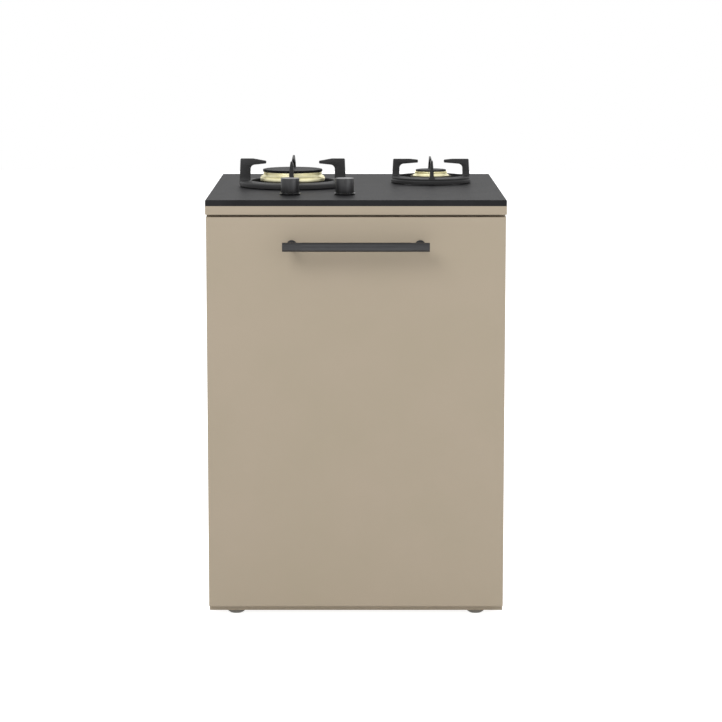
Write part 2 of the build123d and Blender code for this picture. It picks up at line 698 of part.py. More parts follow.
def pan_support(burner):
    """A cast ring with four fingers that carry the pan."""
    low, high = PAD_HEIGHT[burner], RING_TOP[burner]
    outer, inner = RING_OUTER[burner], RING_INNER[burner]
    # The seam lies between two fingers
    ring = Rot(0, 0, 180 / FINGER_COUNT) * turned([(inner, low), (outer, low), (outer, high), (inner, high)])
    one = finger(burner)
    for step in range(FINGER_COUNT):
        ring += Rot(0, 0, 360 * step / FINGER_COUNT) * one
    return Pos(*burner_place(burner), WORKTOP_HEIGHT) * ring


def support_pads(burner):
    """Rubber pads under the ring, one below each finger."""
    radius = (RING_OUTER[burner] + RING_INNER[burner]) / 2
    size, height = PAD_SIZE[burner], PAD_HEIGHT[burner]
    pad = Pos(radius, 0, height / 2) * Box(size, size, height)
    place = Pos(*burner_place(burner), WORKTOP_HEIGHT)
    return group([place * Rot(0, 0, 360 * step / FINGER_COUNT) * pad for step in range(FINGER_COUNT)])


def spark_electrodes():
    """A ceramic pin on the lug of each burner, in eight facets."""
    low = LUG_THICKNESS
    made = []
    section = RegularPolygon(ELECTRODE_RADIUS, 8, major_radius=False)
    for burner in BURNERS:
        pin = Pos(electrode_radius(burner), 0, low) * extrude(section, ELECTRODE_TOP[burner] - low)
        made.append(Pos(*burner_place(burner), WORKTOP_HEIGHT) * Rot(0, 0, ELECTRODE_ANGLE) * pin)
    return group(made)


# Knobs and taps


def tap_bezels():
    """Discs on the worktop round the spindles."""
    disc = extrude(Circle(BEZEL_RADIUS) - Rectangle(BEZEL_HOLE, BEZEL_HOLE), BEZEL_HEIGHT)
    return group([Pos(*knob_place(burner), WORKTOP_HEIGHT) * disc for burner in BURNERS])


def outlet_angle(burner):
    """The direction from a knob to its burner, which the tap's outlet and its pipe take."""
    x, y = knob_place(burner)
    burner_x, burner_y = burner_place(burner)
    return degrees(atan2(burner_y - y, burner_x - x))


def tap_bodies():
    """Two tap blocks under the worktop, bored for the spindle, with a chamber for the plunger below it."""
    taps = []
    bore = sqrt(2) * SPINDLE_SQUARE / 2 + SPINDLE_CLEARANCE
    room = PLUNGER_SIZE + 2 * PLUNGER_CLEARANCE
    chamber = SPINDLE_END - TAP_ROOF + PLUNGER_LENGTH + KNOB_PUSH + PLUNGER_CLEARANCE
    for burner in BURNERS:
        body = Pos(0, 0, -TAP_HEIGHT / 2) * Box(TAP_WIDTH, TAP_DEPTH, TAP_HEIGHT)
        body = chamfer(body.edges().filter_by(Axis.Z), TAP_CORNER)
        body &= Rot(0, 0, outlet_angle(burner)) * Pos(TAP_OUTLET - TAP_DEPTH, 0, 0) * Box(
            2 * TAP_DEPTH, 2 * TAP_DEPTH, 2 * TAP_HEIGHT
        )
        body -= Pos(0, 0, -TAP_ROOF / 2) * Cylinder(bore, TAP_ROOF)
        body -= Pos(0, 0, -TAP_ROOF - chamber / 2) * Box(room, room, chamber)
        taps.append(Pos(*knob_place(burner), WORKTOP_UNDERSIDE) * body)
    return group(taps)


def tap_plunger(burner):
    """The sliding piece that the spindle pushes down to open the tap's safety valve."""
    x, _ = knob_place(burner)
    half, top = PLUNGER_SIZE / 2, WORKTOP_UNDERSIDE - SPINDLE_END
    depth = (KNOB_SETBACK - half, KNOB_SETBACK + half)
    return block((x - half, x + half), depth, (top - PLUNGER_LENGTH, top))


def spindle(burner):
    """A square spindle that is fixed in the knob and stands on the plunger."""
    half = SPINDLE_SQUARE / 2
    x, _ = knob_place(burner)
    z = (WORKTOP_UNDERSIDE - SPINDLE_END, WORKTOP_HEIGHT + SPINDLE_TOP)
    return block((x - half, x + half), (KNOB_SETBACK - half, KNOB_SETBACK + half), z)


def knob(burner):
    """A turned cylindrical knob with a blind square hole and a pointer groove."""
    height = KNOB_TOP - KNOB_BOTTOM
    body = Pos(0, 0, KNOB_BOTTOM + height / 2) * Cylinder(KNOB_RADIUS, height)
    hole = SPINDLE_TOP - KNOB_BOTTOM
    body -= Pos(0, 0, KNOB_BOTTOM + hole / 2) * Box(SPINDLE_SQUARE, SPINDLE_SQUARE, hole)
    groove_y = POINTER_LENGTH / 2 - KNOB_RADIUS
    body -= Pos(0, groove_y, KNOB_TOP) * Box(POINTER_WIDTH, POINTER_LENGTH, 2 * POINTER_DEPTH)
    return Pos(*knob_place(burner), WORKTOP_HEIGHT) * body


# Gas line and ignition


def gas_rail():
    """A square bar along the front of the taps that feeds them both."""
    half = RAIL_SIZE / 2
    x = (KNOB_X["wok"] - RAIL_OVERHANG, SUPPLY_X + RAIL_SIZE)
    return block(x, (TAP_FRONT - RAIL_SIZE, TAP_FRONT), (RAIL_Z - half, RAIL_Z + half))


def feed_pipe(burner):
    """A straight pipe from the outlet of a tap to the neck of its burner."""
    x, y = knob_place(burner)
    burner_x, burner_y = burner_place(burner)
    length = hypot(burner_x - x, burner_y - y) - NECK_RADIUS[burner] - TAP_OUTLET
    pipe = Pos(TAP_OUTLET + length / 2, 0, 0) * Rot(0, 90, 0) * Cylinder(FEED_RADIUS, length)
    return Pos(x, y, RAIL_Z) * Rot(0, 0, outlet_angle(burner)) * pipe


def gas_inlet():
    """The supply pipe from the rail, brazed to a bulkhead fitting with a stub for the hose."""
    x, z = SUPPLY_X, RAIL_Z
    face, nut, end = BACK_PANEL - SHEET, BACK_PANEL - SHEET - INLET_NUT_THICKNESS, BACK_PANEL + INLET_LENGTH
    hexagon = Pos(x, behind(face), z) * Rot(90, 0, 0) * RegularPolygon(INLET_NUT_RADIUS, 6)
    fitting = extrude(hexagon, INLET_NUT_THICKNESS)
    fitting += deep_rod(x, TAP_FRONT, nut, z, SUPPLY_RADIUS)
    fitting += deep_rod(x, face, end, z, INLET_RADIUS)
    return fitting - deep_rod(x, nut, end, z, SUPPLY_BORE)


def ignition_box():
    """The spark generator, under the worktop behind the front cross rail."""
    half = IGNITION_WIDTH / 2
    front = CABINET_FRONT + CASSETTE_DEPTH
    height = (WORKTOP_UNDERSIDE - IGNITION_HEIGHT, WORKTOP_UNDERSIDE)
    case = block((IGNITION_X - half, IGNITION_X + half), (front, front + IGNITION_DEPTH), height)
    return chamfer(case.edges().filter_by(Axis.Z), IGNITION_CORNER)


def all_parts():
    parts = {
        "worktop": worktop(),
        "top_frame": top_frame(),
        "back_panel": back_panel(),
        "bottom_panel": bottom_panel(),
        "front_cross_rail": front_cross_rail(),
        "foot_sleeves": foot_sleeves(),
        "front_panel": front_panel(),
        "front_liner": front_liner(),
        "front_buffers": front_buffers(),
        "handle_bar": handle_bar(),
        "handle_posts": handle_posts(),
        "tray": tray(),
        "tray_gussets": tray_gussets(),
        "bottle_strap": bottle_strap(),
        "bottle_mat": bottle_mat(),
        "burner_retainers": burner_retainers(),
        "burner_bodies": burner_bodies(),
        "spark_electrodes": spark_electrodes(),
        "tap_bezels": tap_bezels(),
        "tap_bodies": tap_bodies(),
        "gas_rail": gas_rail(),
        "gas_inlet": gas_inlet(),
        "ignition_box": ignition_box(),
    }
    for name, side in SIDES.items():
        parts[f"side_panel_{name}"] = side_panel(side)
        parts[f"runner_cabinet_member_{name}"] = runner_cabinet_member(side)
        parts[f"runner_middle_member_{name}"] = runner_middle_member(side)
        parts[f"runner_drawer_member_{name}"] = runner_drawer_member(side)
    for (row, name), (x, y) in foot_places().items():
        parts[f"foot_{row}_{name}"] = foot(x, y)
    for burner in BURNERS:
        parts[f"{burner}_crown"] = crown(burner)
        parts[f"{burner}_cap"] = cap(burner)
        parts[f"{burner}_pan_support"] = pan_support(burner)
        parts[f"{burner}_support_pads"] = support_pads(burner)
        parts[f"{burner}_gas_pipe"] = feed_pipe(burner)
        parts[f"{burner}_tap_plunger"] = tap_plunger(burner)
        parts[f"{burner}_spindle"] = spindle(burner)
        parts[f"{burner}_knob"] = knob(burner)
    return parts


os.makedirs("parts", exist_ok=True)
for node, shape in all_parts().items():
    export_step(shape, f"parts/{node}.step")
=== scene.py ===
from math import atan2, cos, degrees, pi, radians, sin, sqrt, tan
import json

import bmesh
import bpy
from mathutils import Matrix, Vector


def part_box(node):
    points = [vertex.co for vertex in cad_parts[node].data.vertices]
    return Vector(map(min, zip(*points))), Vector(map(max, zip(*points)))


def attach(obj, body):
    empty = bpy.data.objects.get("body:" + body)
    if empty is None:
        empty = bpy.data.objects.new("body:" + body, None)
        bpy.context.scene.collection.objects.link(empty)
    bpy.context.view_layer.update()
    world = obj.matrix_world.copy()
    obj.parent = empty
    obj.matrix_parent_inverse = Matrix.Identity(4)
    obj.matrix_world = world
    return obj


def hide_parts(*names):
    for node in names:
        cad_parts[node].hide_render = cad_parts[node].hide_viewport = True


# An outdoor kitchen hob module: beige powder coated cabinet, black slab worktop, two brass burners with cast
# pan supports, two knobs and a bar handle. Metres; +X right, +Y to the back, +Z up.

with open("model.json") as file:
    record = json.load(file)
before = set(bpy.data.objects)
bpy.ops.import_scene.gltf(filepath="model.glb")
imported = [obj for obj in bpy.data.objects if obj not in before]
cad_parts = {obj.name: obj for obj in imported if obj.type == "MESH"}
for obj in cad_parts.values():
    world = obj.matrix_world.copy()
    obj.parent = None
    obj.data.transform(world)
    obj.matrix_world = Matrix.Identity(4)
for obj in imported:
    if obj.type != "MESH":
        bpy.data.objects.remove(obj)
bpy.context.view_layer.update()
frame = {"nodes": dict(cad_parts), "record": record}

MM = 0.001

# Places of the front, the burners and the knobs, read from the frame
BURNERS = ("wok", "small")
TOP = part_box("worktop")[1].z
FRONT_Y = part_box("front_panel")[0].y


def middle(name, height=TOP):
    """The middle of a CAD node's box in plan, at the worktop's upper surface or another height."""
    low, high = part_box(name)
    return Vector(((low.x + high.x) / 2, (low.y + high.y) / 2, height))


BURNER_AT = {burner: middle(f"{burner}_cap") for burner in BURNERS}
KNOB_AT = {burner: middle(f"{burner}_knob") for burner in BURNERS}


# Camera, floor and light

PHOTO_SIZE = 722
FOCAL_PIXELS = 2567.98
CENTRE_PIXEL = 355.96  # that the camera's axis passes through, across the photo
CAMERA_DISTANCE = 5.0896  # in front of the cabinet's front
CAMERA_HEIGHT = 0.43288  # above the worktop
CAMERA_PITCH = 0.1474  # radians that it looks down


def linear(hex_colour):
    """An sRGB hex colour as linear red, green, blue and alpha."""
    values = [int(hex_colour[i:i + 2], 16) / 255 for i in (1, 3, 5)]
    return [v / 12.92 if v <= 0.04045 else ((v + 0.055) / 1.055) ** 2.4 for v in values] + [1.0]


def node(tree, kind, inputs=None, **settings):
    """Adds a shader node. Each input is a value or the socket that it is linked to."""
    added = tree.nodes.new(kind)
    for name, value in settings.items():
        setattr(added, name, value)
    for name, value in (inputs or {}).items():
        if isinstance(value, bpy.types.NodeSocket):
            tree.links.new(value, added.inputs[name])
        else:
            added.inputs[name].default_value = value
    return added


def add_object(name, data):
    """Puts an object with this data in the scene."""
    made = bpy.data.objects.new(name, data)
    bpy.context.scene.collection.objects.link(made)
    return made


def mesh_data(mesh, name="part"):
    """Mesh data made from a bmesh, which is freed."""
    data = bpy.data.meshes.new(name)
    mesh.to_mesh(data)
    mesh.free()
    return data


def set_camera():
    """The photo's camera, level across the cabinet and looking down on the worktop."""
    camera = add_object("camera", bpy.data.cameras.new("camera"))
    camera.data.sensor_width = 36
    camera.data.lens = FOCAL_PIXELS / PHOTO_SIZE * camera.data.sensor_width
    camera.data.shift_x = (PHOTO_SIZE / 2 - CENTRE_PIXEL) / PHOTO_SIZE
    camera.data.clip_end = 60
    camera.location = (0, FRONT_Y - CAMERA_DISTANCE, TOP + CAMERA_HEIGHT)
    camera.rotation_euler = (pi / 2 - CAMERA_PITCH, 0, 0)
    bpy.context.scene.camera = camera


def seen_by(tree, *rays):
    """1 for rays of these kinds, by which the background is seen, and 0 for those that light the object."""
    path = node(tree, "ShaderNodeLightPath")
    share = path.outputs[rays[0]]
    for ray in rays[1:]:
        either = node(tree, "ShaderNodeMath", {0: share, 1: path.outputs[ray]}, operation="MAXIMUM")
        share = either.outputs[0]
    return share


LAMPS = {
    # name: place, aimed at, size, watts
    "key": ((-1.6, -2.6, 3.0), (0, 0, 0.6), 1.8, 42),
    "fill": ((2.4, -2.2, 1.0), (0, 0, 0.3), 2.4, 17),
    "back": ((0.2, 2.6, 2.8), (0, 0, 0.9), 2.0, 18),
}
WHITE = (1, 1, 1, 1)
WORLD_LIGHT = 0.62


def set_light():
    """Three soft lamps, in a world that lights from all sides and looks white."""
    for name, (place, aim, size, watts) in LAMPS.items():
        lamp = bpy.data.lights.new(name, "AREA")
        lamp.size = size
        lamp.energy = watts
        holder = add_object(name, lamp)
        holder.location = place
        holder.rotation_euler = (Vector(aim) - Vector(place)).to_track_quat("-Z", "Y").to_euler()
    world = bpy.data.worlds.new("studio")
    world.use_nodes = True
    bpy.context.scene.world = world
    tree = world.node_tree
    tree.nodes.clear()
    seen = seen_by(tree, "Is Camera Ray", "Is Glossy Ray", "Is Transmission Ray")
    light = node(tree, "ShaderNodeBackground", {"Color": WHITE, "Strength": WORLD_LIGHT})
    white = node(tree, "ShaderNodeBackground", {"Color": WHITE, "Strength": 1})
    mix = node(tree, "ShaderNodeMixShader", {0: seen, 1: light.outputs[0], 2: white.outputs[0]})
    node(tree, "ShaderNodeOutputWorld", {"Surface": mix.outputs[0]})


FLOOR_SIZE = 24
FLOOR_GLOW = 0.88  # that brings the lit floor to white where it is seen


def set_floor():
    """A floor that looks white and keeps a faint shadow round the feet."""
    mesh = bmesh.new()
    bmesh.ops.create_grid(mesh, x_segments=1, y_segments=1, size=FLOOR_SIZE / 2)
    data = mesh_data(mesh, "floor")
    floor = add_object("floor", data)
    material = bpy.data.materials.new("pale_floor")
    material.use_nodes = True
    tree = material.node_tree
    tree.nodes.clear()
    seen = seen_by(tree, "Is Camera Ray", "Is Glossy Ray")
    matte = node(tree, "ShaderNodeBsdfDiffuse", {"Color": linear("#ececec")})
    glow = node(tree, "ShaderNodeEmission", {"Strength": FLOOR_GLOW})
    both = node(tree, "ShaderNodeAddShader", {0: matte.outputs[0], 1: glow.outputs[0]})
    mix = node(tree, "ShaderNodeMixShader", {0: seen, 1: matte.outputs[0], 2: both.outputs[0]})
    node(tree, "ShaderNodeOutputMaterial", {"Surface": mix.outputs[0]})
    data.materials.append(material)


# Materials. Each reads Object coordinates, in metres, so that a pattern's scale is a real size.

NOISE_LOW, NOISE_HIGH = 0.3, 0.7  # between which nearly all of a noise's values lie
WAVE_RADIANS = 20  # that a wave texture runs through in each unit of its scale


def per_metre(millimetres):
    """The texture scale that gives features of that size."""
    return 1 / (millimetres * MM)


def new_material(name):
    """A material with an empty tree but for its shader, its output and its coordinates."""
    material = bpy.data.materials.new(name)
    material.use_nodes = True
    tree = material.node_tree
    tree.nodes.clear()
    shader = node(tree, "ShaderNodeBsdfPrincipled")
    node(tree, "ShaderNodeOutputMaterial", {"Surface": shader.outputs[0]})
    place = node(tree, "ShaderNodeTexCoord").outputs["Object"]
    return material, tree, shader, place


def vary(tree, shader, pattern, tones=None, roughness=None, relief=None):
    """Lets a pattern vary a surface.

    It blends two tones, runs between two values of roughness, and raises the surface by a relief, which is
    given as (millimetres, strength).
    """
    spread = {"Value": pattern, "From Min": NOISE_LOW, "From Max": NOISE_HIGH}
    if tones:
        share = node(tree, "ShaderNodeMapRange", spread)
        first, second = [linear(tone) for tone in tones]
        blend = {"Factor": share.outputs[0], 6: first, 7: second}
        mix = node(tree, "ShaderNodeMix", blend, data_type="RGBA")
        tree.links.new(mix.outputs[2], shader.inputs["Base Color"])
    if roughness:
        low, high = roughness
        ranged = node(tree, "ShaderNodeMapRange", {**spread, "To Min": low, "To Max": high})
        tree.links.new(ranged.outputs[0], shader.inputs["Roughness"])
    if relief:
        height, strength = relief
        raised = {"Height": pattern, "Distance": height * MM, "Strength": strength}
        bump = node(tree, "ShaderNodeBump", raised)
        tree.links.new(bump.outputs[0], shader.inputs["Normal"])


def powder_coat():
    """Polyester powder on steel sheet: a matt, even skin with a fine orange peel."""
    material, tree, shader, place = new_material("beige_powder_coat")
    patches = node(tree, "ShaderNodeTexNoise", {"Vector": place, "Scale": per_metre(160)})
    vary(tree, shader, patches.outputs[0], tones=("#b0a38e", "#b3a591"))
    peel = node(tree, "ShaderNodeTexNoise", {"Vector": place, "Scale": per_metre(1.4), "Detail": 3})
    vary(tree, shader, peel.outputs[0], roughness=(0.5, 0.62), relief=(0.03, 1))
    return material


def black_slab():
    """Pressed ceramic slab: near black, faintly clouded, with a fine grained skin and hardly any sheen."""
    material, tree, shader, place = new_material("black_ceramic_slab")
    cloud = node(tree, "ShaderNodeTexNoise", {"Vector": place, "Scale": per_metre(70), "Detail": 5})
    vary(tree, shader, cloud.outputs[0], tones=("#2a2a2b", "#313132"))
    grain = node(tree, "ShaderNodeTexNoise", {"Vector": place, "Scale": per_metre(0.9), "Detail": 3})
    vary(tree, shader, grain.outputs[0], roughness=(0.46, 0.54), relief=(0.03, 1))
    shader.inputs["Specular IOR Level"].default_value = 0.026
    return material


def cast_iron():
    """Sand cast iron under matt black enamel: a soft pebbled skin with paler rubbed grains."""
    material, tree, shader, place = new_material("matt_enamelled_cast_iron")
    speck = node(tree, "ShaderNodeTexNoise", {"Vector": place, "Scale": per_metre(0.8), "Detail": 3})
    vary(tree, shader, speck.outputs[0], tones=("#1e1e1f", "#282829"), roughness=(0.5, 0.66))
    pebble = node(tree, "ShaderNodeTexVoronoi", {"Vector": place, "Scale": per_metre(1.3)},
                  feature="SMOOTH_F1")
    vary(tree, shader, pebble.outputs["Distance"], relief=(0.12, 0.6))
    shader.inputs["Specular IOR Level"].default_value = 0.4
    return material


def black_enamel():
    """Vitreous enamel on steel: deep black, satin, with a slight ripple."""
    material, tree, shader, place = new_material("black_vitreous_enamel")
    ripple = node(tree, "ShaderNodeTexNoise", {"Vector": place, "Scale": per_metre(6)})
    vary(tree, shader, ripple.outputs[0], ("#18181a", "#1f1f21"), (0.46, 0.54), (0.02, 1))
    shader.inputs["Specular IOR Level"].default_value = 0.04
    return material


def turned_brass():
    """Forged brass, turned and lightly polished: cream yellow, with turning lines along each ring.

    The lines are drawn 4.4 mm apart, as coarse as they need to be to show.
    """
    material, tree, shader, place = new_material("turned_brass")
    heat = node(tree, "ShaderNodeTexNoise", {"Vector": place, "Scale": per_metre(18)})
    vary(tree, shader, heat.outputs[0], tones=("#f1ebc2", "#f7f1cc"))
    scale = per_metre(0.7) / WAVE_RADIANS
    lines = node(tree, "ShaderNodeTexWave", {"Vector": place, "Scale": scale, "Distortion": 0.6},
                 bands_direction="Z")
    vary(tree, shader, lines.outputs["Fac"], roughness=(0.36, 0.44), relief=(0.006, 0.4))
    shader.inputs["Metallic"].default_value = 1
    return material


def shade_darkened_brass():
    """Brass in a mottled, dull olive brown: painted shade that darkens the low rim under the crown."""
    material, tree, shader, place = new_material("shade_darkened_brass")
    # The olive brown tones are painted shade, and the noise only mottles them
    scale = node(tree, "ShaderNodeTexNoise", {"Vector": place, "Scale": per_metre(5), "Detail": 4})
    vary(tree, shader, scale.outputs[0], tones=("#403b2c", "#4c4634"), roughness=(0.62, 0.74))
    shader.inputs["Specular IOR Level"].default_value = 0.15
    return material


def machined_brass():
    """Hot pressed tap brass, plain and a little dull."""
    material, tree, shader, place = new_material("machined_brass")
    tone = node(tree, "ShaderNodeTexNoise", {"Vector": place, "Scale": per_metre(9), "Detail": 4})
    vary(tree, shader, tone.outputs[0], tones=("#b39552", "#c8ab67"), roughness=(0.34, 0.48))
    shader.inputs["Metallic"].default_value = 1
    return material


def brushed(name, tones, width, length, roughness, axis):
    """A metal with brush or draw lines along one axis, drawn wide enough, in millimetres, to show."""
    material, tree, shader, place = new_material(name)
    scale = [per_metre(width)] * 3
    scale["XYZ".index(axis)] = per_metre(length)
    stretched = node(tree, "ShaderNodeMapping", {"Vector": place, "Scale": scale}, vector_type="POINT")
    lines = node(tree, "ShaderNodeTexNoise", {"Vector": stretched.outputs[0], "Scale": 1, "Detail": 3})
    vary(tree, shader, lines.outputs[0], tones, roughness, relief=(0.01, 0.5))
    shader.inputs["Metallic"].default_value = 1
    return material


def zinc_plate():
    """Zinc plated steel: pale blue grey, with soft clouds of passivation."""
    material, tree, shader, place = new_material("zinc_plated_steel")
    cloud = node(tree, "ShaderNodeTexNoise", {"Vector": place, "Scale": per_metre(14), "Detail": 4})
    vary(tree, shader, cloud.outputs[0], tones=("#a9acae", "#c0c2c1"), roughness=(0.3, 0.44))
    shader.inputs["Metallic"].default_value = 1
    return material


def casting_black():
    """Die cast burner cup with a heat proof coat: a gritty, dull dark grey."""
    material, tree, shader, place = new_material("black_coated_casting")
    grit = node(tree, "ShaderNodeTexNoise", {"Vector": place, "Scale": per_metre(0.8), "Detail": 3})
    vary(tree, shader, grit.outputs[0], ("#2c2c2c", "#383838"), (0.55, 0.7), (0.06, 1))
    return material


def black_rubber():
    """Moulded rubber: very matt, with a dusty bloom."""
    material, tree, shader, place = new_material("moulded_rubber")
    bloom = node(tree, "ShaderNodeTexNoise", {"Vector": place, "Scale": per_metre(5), "Detail": 4})
    vary(tree, shader, bloom.outputs[0], tones=("#151515", "#202020"), roughness=(0.72, 0.86))
    grain = node(tree, "ShaderNodeTexNoise", {"Vector": place, "Scale": per_metre(0.7)})
    vary(tree, shader, grain.outputs[0], relief=(0.03, 1))
    return material


def glazed_alumina():
    """White alumina under a clear, bright glaze."""
    material, tree, shader, place = new_material("glazed_alumina")
    speck = node(tree, "ShaderNodeTexNoise", {"Vector": place, "Scale": per_metre(1.5)})
    vary(tree, shader, speck.outputs[0], tones=("#dcd8cd", "#e6e3da"))
    shader.inputs["Roughness"].default_value = 0.22
    return material


def moulded_black():
    """Moulded thermoset housing: half matt, with a spark eroded grain."""
    material, tree, shader, place = new_material("moulded_black_plastic")
    grain = node(tree, "ShaderNodeTexNoise", {"Vector": place, "Scale": per_metre(0.6)})
    vary(tree, shader, grain.outputs[0], tones=("#161617", "#1d1d1e"), relief=(0.03, 1))
    shader.inputs["Roughness"].default_value = 0.5
    return material


MATERIALS = {
    "cabinet_paint": powder_coat(),
    "worktop_black": black_slab(),
    "cast_iron": cast_iron(),
    "black_enamel": black_enamel(),
    "brass": turned_brass(),
    "tap_brass": machined_brass(),
    # Dark grey with a soft sheen that lies across the knob
    "anthracite": brushed(
        "anthracite_anodised_aluminium", ("#434344", "#505051"), 0.35, 14, (0.3, 0.42), "Z"),
    # A darker grey, with its sheen along the handle
    "gunmetal": brushed(
        "gunmetal_plated_brass", ("#3d3d3e", "#484849"), 0.4, 20, (0.34, 0.46), "X"),
    # A warm mid grey with fine level lines
    "stainless_steel": brushed(
        "brushed_stainless_steel", ("#5d5b56", "#6b6963"), 0.3, 25, (0.3, 0.42), "X"),
    # Bright and nearly white, with long draw lines
    "pipe_aluminium": brushed(
        "drawn_aluminium", ("#b9babb", "#c9cacb"), 0.5, 40, (0.28, 0.38), "Y"),
    "zinc_steel": zinc_plate(),
    "burner_casting": casting_black(),
    "black_rubber": black_rubber(),
    "white_ceramic": glazed_alumina(),
    "black_plastic": moulded_black(),
}

# Finishes of single pieces that differ from the rest of their slot: the small crown's rim, darkened with
# painted shade, and the collars, polished so that they catch a bright line round each knob
RIM_FINISH = shade_darkened_brass()
COLLAR_FINISH = brushed(
    "polished_anthracite_aluminium", ("#4a4a4b", "#565657"), 0.35, 14, (0.24, 0.32), "Z")


# Pieces. Sizes are in millimetres, and heights are above the worktop, until a piece goes to its place.

SHEET = 2  # thickness of every folded sheet
SMOOTH_BELOW = 38  # degrees between two faces whose edge is shaded smooth
MERGE_DISTANCE = 1e-6  # in metres


def put(mesh, place):
    """Moves a mesh to a place in metres."""
    bmesh.ops.translate(mesh, verts=mesh.verts, vec=place)
    return mesh


def shift(mesh, x=0, y=0, z=0):
    """Moves a mesh by millimetres."""
    return put(mesh, Vector((x, y, z)) * MM)


def turn(mesh, angle, axis="Z"):
    """Turns a mesh by degrees about an axis through the origin."""
    bmesh.ops.rotate(mesh, verts=mesh.verts, cent=(0, 0, 0), matrix=Matrix.Rotation(radians(angle), 3, axis))
    return mesh


def piece(name, mesh, body, slot, replaces=(), at=(0, 0, 0), sharp=SMOOTH_BELOW, material=None):
    """An object of a mesh moved to its place, which rides on a body and has its slot's finish."""
    data = mesh_data(put(mesh, at), name)
    data.shade_smooth()
    data.set_sharp_from_angle(angle=radians(sharp))
    made = add_object(name, data)
    data.materials.append(material or MATERIALS[slot])
    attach(made, body)
    if replaces:
        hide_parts(*replaces)


def rounded(corners, steps=4):
    """The points of a closed outline. A corner is (across, up, radius of its rounding)."""
    points = []
    count = len(corners)
    for index, (across, up, radius) in enumerate(corners):
        corner = Vector((across, up))
        if not radius:
            points.append(corner * MM)
            continue
        before = (Vector(corners[index - 1][:2]) - corner).normalized()
        after = (Vector(corners[(index + 1) % count][:2]) - corner).normalized()
        angle = before.angle(after)
        centre = corner + (before + after).normalized() * radius / sin(angle / 2)
        start = corner + before * radius / tan(angle / 2) - centre
        end = corner + after * radius / tan(angle / 2) - centre
        for step in range(steps + 1):
            spoke = start.lerp(end, step / steps).normalized() * radius
            points.append((centre + spoke) * MM)
    return points


def turned(corners, turns=96, steps=4):
    """A closed outline of (radius, height, rounding) turned about the vertical.

    Its edge along the axis, if it has one, is left out, so that the poles close.
    """
    mesh = bmesh.new()
    rim = [mesh.verts.new((radius, 0, height)) for radius, height in rounded(corners, steps)]
    pairs = [pair for pair in zip(rim, rim[1:] + rim[:1]) if pair[0].co.x > 0 or pair[1].co.x > 0]
    loop = [mesh.edges.new(pair) for pair in pairs]
    bmesh.ops.spin(mesh, geom=rim + loop, cent=(0, 0, 0), axis=(0, 0, 1), angle=2 * pi, steps=turns,
                   use_merge=True)
    bmesh.ops.remove_doubles(mesh, verts=mesh.verts, dist=MERGE_DISTANCE)
    bmesh.ops.recalc_face_normals(mesh, faces=mesh.faces)
    return mesh


def prism(outline, low, high):
    """A closed outline, already in metres, raised between two heights."""
    mesh = bmesh.new()
    floor = mesh.faces.new([mesh.verts.new((x, y, low * MM)) for x, y in outline])
    made = bmesh.ops.extrude_face_region(mesh, geom=[floor])
    roof = [item for item in made["geom"] if isinstance(item, bmesh.types.BMVert)]
    bmesh.ops.translate(mesh, verts=roof, vec=(0, 0, (high - low) * MM))
    bmesh.ops.recalc_face_normals(mesh, faces=mesh.faces)
    return mesh


def corner_edges(mesh, least=30):
    """The edges whose two faces meet at more than that many degrees."""
    return [edge for edge in mesh.edges if edge.is_manifold and edge.calc_face_angle(0) > radians(least)]


def round_edges(mesh, edges, width, segments=2):
    """Rounds edges by bevelling them."""
    bmesh.ops.bevel(mesh, geom=edges, offset=width * MM, offset_type="OFFSET", segments=segments,
                    profile=0.5, affect="EDGES", material=-1)
    return mesh


def cut_level(mesh, place):
    """Cuts new edges round a mesh at a place on Z, in metres, and leaves it whole."""
    bmesh.ops.bisect_plane(mesh, geom=mesh.verts[:] + mesh.edges[:] + mesh.faces[:], dist=MERGE_DISTANCE,
                           plane_co=(0, 0, place), plane_no=(0, 0, 1))


def box_mesh(size):
    """A plain box of that size about the origin."""
    mesh = bmesh.new()
    bmesh.ops.create_cube(mesh, size=1)
    bmesh.ops.scale(mesh, verts=mesh.verts, vec=Vector(size) * MM)
    return mesh


def block(size, rounding=0.4):
    """A box of that size about the origin, with rounded edges."""
    mesh = box_mesh(size)
    return round_edges(mesh, mesh.edges[:], rounding)


def hexagon(flats, low, high, rounding=0.6):
    """A hexagonal prism, such as a nut, with rounded edges."""
    reach = flats / sqrt(3)
    outline = [Vector((cos(k * pi / 3), sin(k * pi / 3))) * reach * MM for k in range(6)]
    mesh = prism(outline, low, high)
    return round_edges(mesh, corner_edges(mesh), rounding)


def joined(meshes):
    """Several meshes as one."""
    whole = bmesh.new()
    for mesh in meshes:
        data = mesh_data(mesh)
        whole.from_mesh(data)
        bpy.data.meshes.remove(data)
    return whole


def combined(meshes, operation):
    """The Boolean union of closed meshes, or the first less the others, as one surface."""
    objects = [add_object("part", mesh_data(mesh)) for mesh in meshes]
    for other in objects[1:]:
        step = objects[0].modifiers.new("step", "BOOLEAN")
        step.operation = operation
        step.solver = "EXACT"
        step.object = other
    depsgraph = bpy.context.evaluated_depsgraph_get()
    data = bpy.data.meshes.new_from_object(objects[0].evaluated_get(depsgraph))
    whole = bmesh.new()
    whole.from_mesh(data)
    bpy.data.meshes.remove(data)
    for made in objects:
        bpy.data.objects.remove(made)
    return whole


# Brass crowns. Their outlines, as all outlines of turned pieces, are corners of (radius, height, rounding).

WOK_CROWN = [
    (54, 13.6, 0.4), (63.8, 13.6, 0.2), (63.8, 11.6, 0.2), (66.6, 11.6, 0.6), (68.3, 13.4, 0.8),
    (68.3, 19.4, 0.6), (66.2, 20.4, 0.3), (66.2, 21.2, 0.2), (66.8, 21.8, 0.3), (64.3, 23.2, 1),
    (61.6, 25.4, 1), (61.4, 33.7, 0.2), (54, 33.7, 0.4),
]
SLOT_COUNT = 167
SLOT_DEPTH = 2.4
